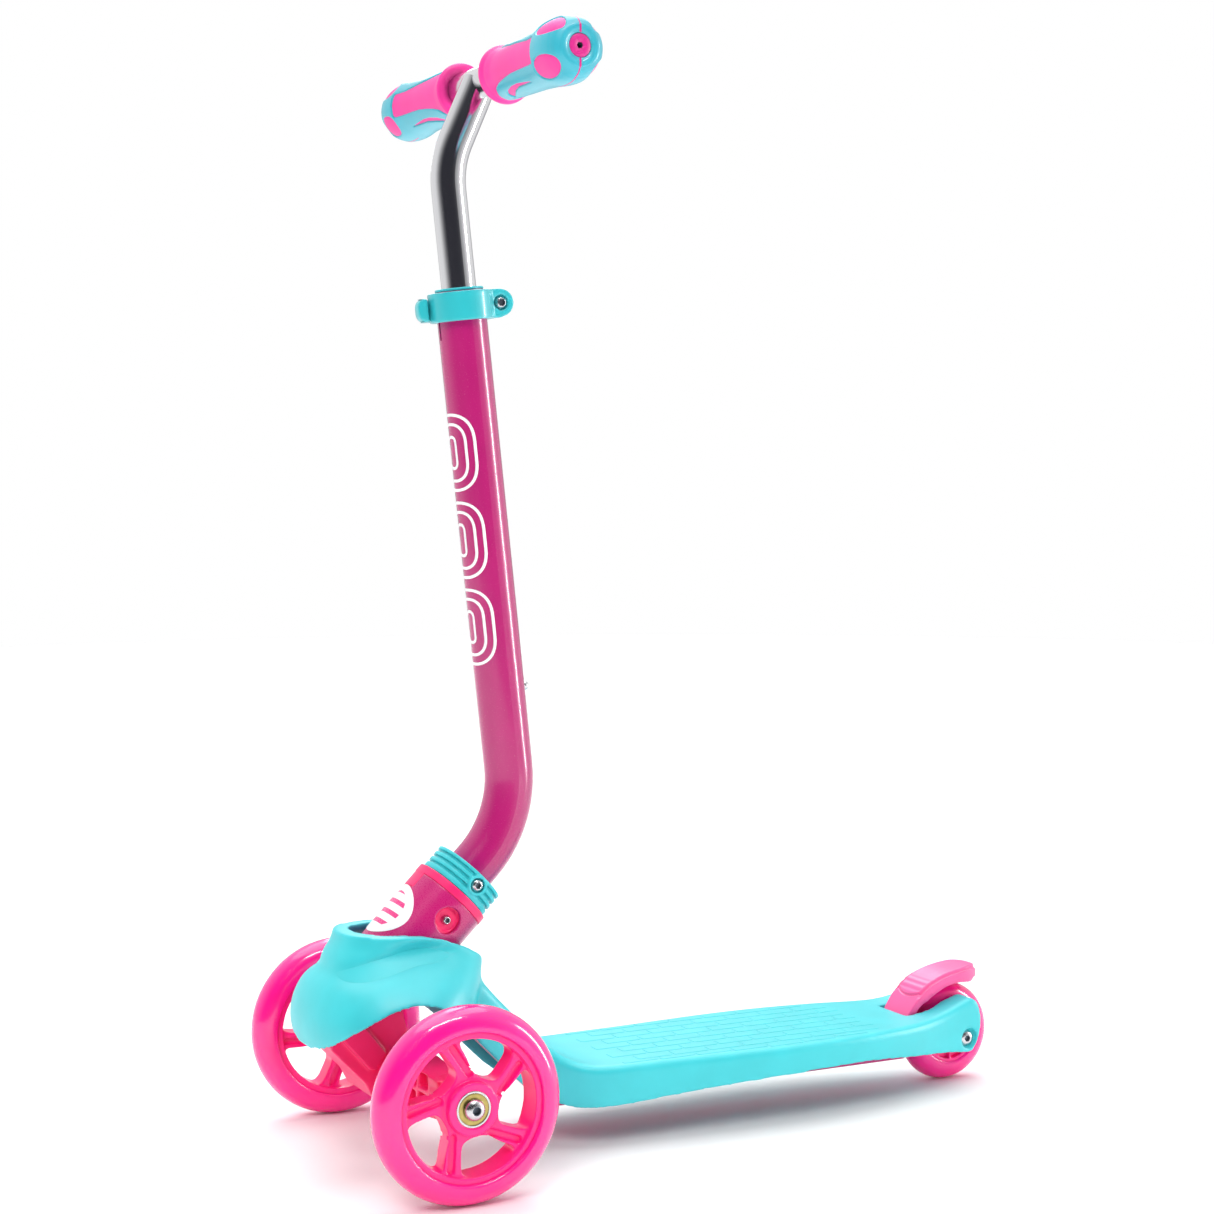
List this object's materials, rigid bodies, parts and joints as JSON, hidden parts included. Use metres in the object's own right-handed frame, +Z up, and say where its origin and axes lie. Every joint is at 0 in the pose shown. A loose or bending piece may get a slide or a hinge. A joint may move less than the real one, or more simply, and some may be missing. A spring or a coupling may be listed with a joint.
{
  "type": "three-wheeled child kick scooter",
  "caption": "child's kick scooter with two large front wheels, lean-to-steer truck under a hood, curved stem with height-adjustable T-bar, narrow deck and rear foot brake",
  "frame": {"origin": "centre of the overall length and width, on the floor under the scooter", "axes": "+Z up, Y along the scooter with the front wheels towards -Y and the rear brake towards +Y, +X to the side of the near wheel, the rider's left"},
  "size_m": [0.2806, 0.5198, 0.7019],
  "materials": {
    "magenta_paint": "gloss",
    "teal_plastic": "satin",
    "crimson_plastic": "satin",
    "pu_pink": "gloss",
    "core_pink": "gloss",
    "chrome": "mirror",
    "grip_pink": "matte",
    "grip_teal": "matte",
    "brake_pink": "satin",
    "white_film": "gloss film",
    "grey_elastomer": "matte",
    "white_nylon": "matte",
    "zinc_steel": "bright zinc"
  },
  "bodies": {
    "frame": {"head_tube": "magenta_paint", "frame_rail": "magenta_paint", "deck_hood": "teal_plastic", "upper_bush": "crimson_plastic", "lower_bush": "grey_elastomer", "bush_screw_left": "zinc_steel", "bush_screw_right": "zinc_steel", "head_badge": "white_film", "deck_screw_1": "zinc_steel", "deck_screw_2": "zinc_steel", "rear_axle": "zinc_steel", "rear_axle_nut": "zinc_steel", "rear_spacer_left": "zinc_steel", "rear_spacer_right": "zinc_steel", "brake_pin": "zinc_steel", "brake_spring": "zinc_steel"},
    "stem": {"stem_tube": "magenta_paint", "stem_collar": "teal_plastic", "collar_screw_left": "zinc_steel", "collar_screw_right": "zinc_steel", "truck": "crimson_plastic", "truck_bolt": "zinc_steel", "truck_nut": "zinc_steel", "axle_bolt_left": "zinc_steel", "axle_bolt_right": "zinc_steel", "clamp_band": "teal_plastic", "clamp_bolt": "zinc_steel", "lever_pin": "zinc_steel", "stem_bush": "teal_plastic"},
    "lever": {"clamp_lever": "teal_plastic"},
    "handlebar": {"tbar_tube": "chrome", "tbar_guide": "white_nylon", "button_spring": "zinc_steel", "grip_core_left": "grip_pink", "grip_cover_left": "grip_teal", "end_cap_left": "grip_pink", "grip_core_right": "grip_pink", "grip_cover_right": "grip_teal", "end_cap_right": "grip_pink"},
    "button": {"snap_button": "zinc_steel"},
    "brake": {"brake_pedal": "brake_pink", "brake_pad": "zinc_steel"},
    "wheel_left": {"wheel_left_tyre": "pu_pink", "wheel_left_core": "core_pink", "wheel_left_bearing_outer": "zinc_steel", "wheel_left_bearing_inner": "zinc_steel", "wheel_left_spacer": "zinc_steel"},
    "wheel_right": {"wheel_right_tyre": "pu_pink", "wheel_right_core": "core_pink", "wheel_right_bearing_outer": "zinc_steel", "wheel_right_bearing_inner": "zinc_steel", "wheel_right_spacer": "zinc_steel"},
    "wheel_rear": {"wheel_rear_tyre": "pu_pink", "wheel_rear_core": "core_pink", "wheel_rear_bearing_outer": "zinc_steel", "wheel_rear_bearing_inner": "zinc_steel", "wheel_rear_spacer": "zinc_steel"}
  },
  "joints": [
    {"name": "steering", "type": "hinge", "parent": "frame", "child": "stem", "pos_m": [0, -0.25995, 0.06405], "axis": [0, 0.7071, 0.7071], "range_deg": [-15, 15], "stiffness_Nm_per_rad": 12},
    {"name": "left_wheel_spin", "type": "hinge", "parent": "stem", "child": "wheel_left", "pos_m": [0.112, -0.1959, 0.06], "axis": [1, 0, 0], "continuous": true},
    {"name": "right_wheel_spin", "type": "hinge", "parent": "stem", "child": "wheel_right", "pos_m": [-0.112, -0.1959, 0.06], "axis": [1, 0, 0], "continuous": true},
    {"name": "rear_wheel_spin", "type": "hinge", "parent": "frame", "child": "wheel_rear", "pos_m": [0, 0.2249, 0.035], "axis": [1, 0, 0], "continuous": true},
    {"name": "handlebar_height", "type": "slide", "parent": "stem", "child": "handlebar", "axis": [0, -0.1087, 0.9941], "range_m": [0, 0.15], "deforming": ["snap_button", "button_spring"]},
    {"name": "clamp_lever_open", "type": "hinge", "parent": "stem", "child": "lever", "pos_m": [-0.017, -0.12621, 0.54328], "axis": [0, 0.1087, -0.9941], "range_deg": [0, 105]},
    {"name": "snap_button_press", "type": "slide", "parent": "handlebar", "child": "button", "axis": [0, -0.9941, -0.1087], "range_m": [0, 0.006], "stiffness_N_per_m": 400, "deforming": ["button_spring"]},
    {"name": "brake_press", "type": "hinge", "parent": "frame", "child": "brake", "pos_m": [0, 0.1701, 0.042], "axis": [-1, 0, 0], "range_deg": [0, 2.4], "stiffness_Nm_per_rad": 3}
  ]
}
